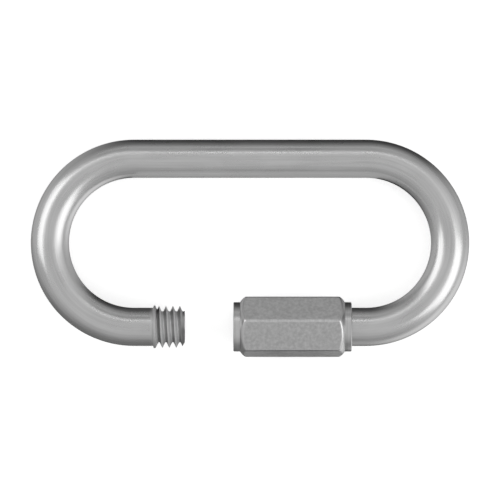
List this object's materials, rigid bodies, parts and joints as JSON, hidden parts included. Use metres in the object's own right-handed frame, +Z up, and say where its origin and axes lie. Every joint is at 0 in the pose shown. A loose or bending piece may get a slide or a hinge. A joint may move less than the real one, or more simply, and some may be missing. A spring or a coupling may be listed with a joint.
{
  "type": "chain quick link",
  "caption": "Long oval loop of bent round steel rod with a mouth in one limb, bridged by a hexagonal sleeve nut that screws along the thread to close the link.",
  "frame": {"origin": "on the table under the middle of the bounding box, with the link lying on its plain limb and on the lowest corner of its nut", "axes": "+X along the limbs from the stub to the nut, +Y across the limbs towards the plain limb, +Z up from the table"},
  "size_m": [0.0632, 0.0314, 0.0088],
  "materials": {
    "rod_steel": "satin drawn stainless wire",
    "nut_steel": "tumbled matt stainless bar"
  },
  "bodies": {
    "link": {"link_body": "rod_steel"},
    "nut": {"sleeve_nut": "nut_steel"}
  },
  "joints": [
    {"name": "nut_travel", "type": "slide", "parent": "link", "child": "nut", "axis": [-1, 0, 0], "range_m": [0, 0.011]}
  ]
}
